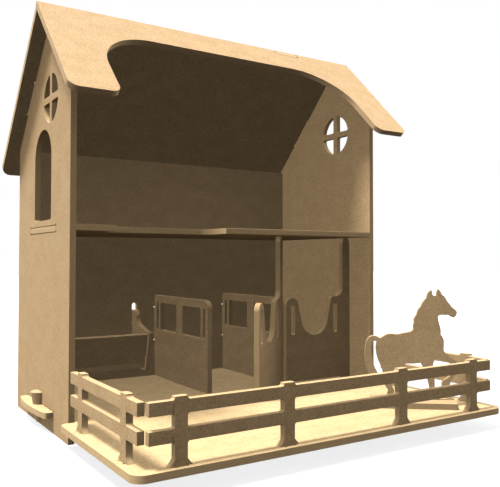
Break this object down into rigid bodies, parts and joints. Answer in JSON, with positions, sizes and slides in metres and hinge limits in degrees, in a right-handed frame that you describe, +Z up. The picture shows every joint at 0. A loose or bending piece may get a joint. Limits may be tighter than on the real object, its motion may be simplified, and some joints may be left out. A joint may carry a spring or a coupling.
{
  "type": "toy barn with opening doors",
  "caption": "Knock-down toy stable of slotted fibreboard with gable walls, loft, stalls with turning doors, feed trough, fenced yard and a flat horse.",
  "frame": {"origin": "on the ground under the middle of the whole toy, yard and roof overhangs included", "axes": "+Z up, -Y from the stalls out over the yard, +X to the right of someone who faces the stalls"},
  "size_m": [0.414, 0.3992, 0.4355],
  "materials": {
    "gable_board": "bare fibreboard, matt, darker cut edges",
    "back_board": "bare fibreboard, matt, darker cut edges",
    "roof_board": "bare fibreboard, matt, darker cut edges",
    "floor_board": "bare fibreboard, matt, darker cut edges",
    "stall_board": "bare fibreboard, matt, darker cut edges",
    "door_board": "bare fibreboard, matt, darker cut edges",
    "trough_board": "bare fibreboard, matt, darker cut edges",
    "fence_board": "bare fibreboard, matt, darker cut edges",
    "peg_wood": "bare turned wood, matt",
    "horse_board": "bare fibreboard, matt, darker cut edges"
  },
  "bodies": {
    "house": {"wall_left": "gable_board", "wall_right": "gable_board", "wall_back": "back_board", "roof_front": "roof_board", "roof_rear": "roof_board", "loft_floor": "floor_board", "ground_floor": "floor_board", "divider_left": "stall_board", "divider_right": "stall_board", "manger_front": "trough_board", "manger_bottom": "trough_board", "manger_bracket_left": "trough_board", "manger_bracket_right": "trough_board", "fence_left": "fence_board", "fence_front": "fence_board", "fence_right": "fence_board"},
    "left_door": {"door_left": "door_board"},
    "right_door": {"door_right": "door_board"},
    "left_peg": {"peg_left": "peg_wood"},
    "right_peg": {"peg_right": "peg_wood"},
    "loose_horse": {"horse": "horse_board", "horse_base": "horse_board"}
  },
  "joints": [
    {"name": "left_door_hinge", "type": "hinge", "parent": "house", "child": "left_door", "pos_m": [0.076, 0.01736, 0.1], "axis": [0, 0, 1], "range_deg": [-40, 50]},
    {"name": "right_door_hinge", "type": "hinge", "parent": "house", "child": "right_door", "pos_m": [0.179, 0.01736, 0.1], "axis": [0, 0, 1], "range_deg": [0, 90]},
    {"name": "left_peg_pull", "type": "slide", "parent": "house", "child": "left_peg", "axis": [0, 0, 1], "range_m": [0, 0.04]},
    {"name": "right_peg_pull", "type": "slide", "parent": "house", "child": "right_peg", "axis": [0, 0, 1], "range_m": [0, 0.04]},
    {"name": "horse_lift", "type": "slide", "parent": "house", "child": "loose_horse", "axis": [0, 0, 1], "range_m": [0, 0.08]}
  ]
}
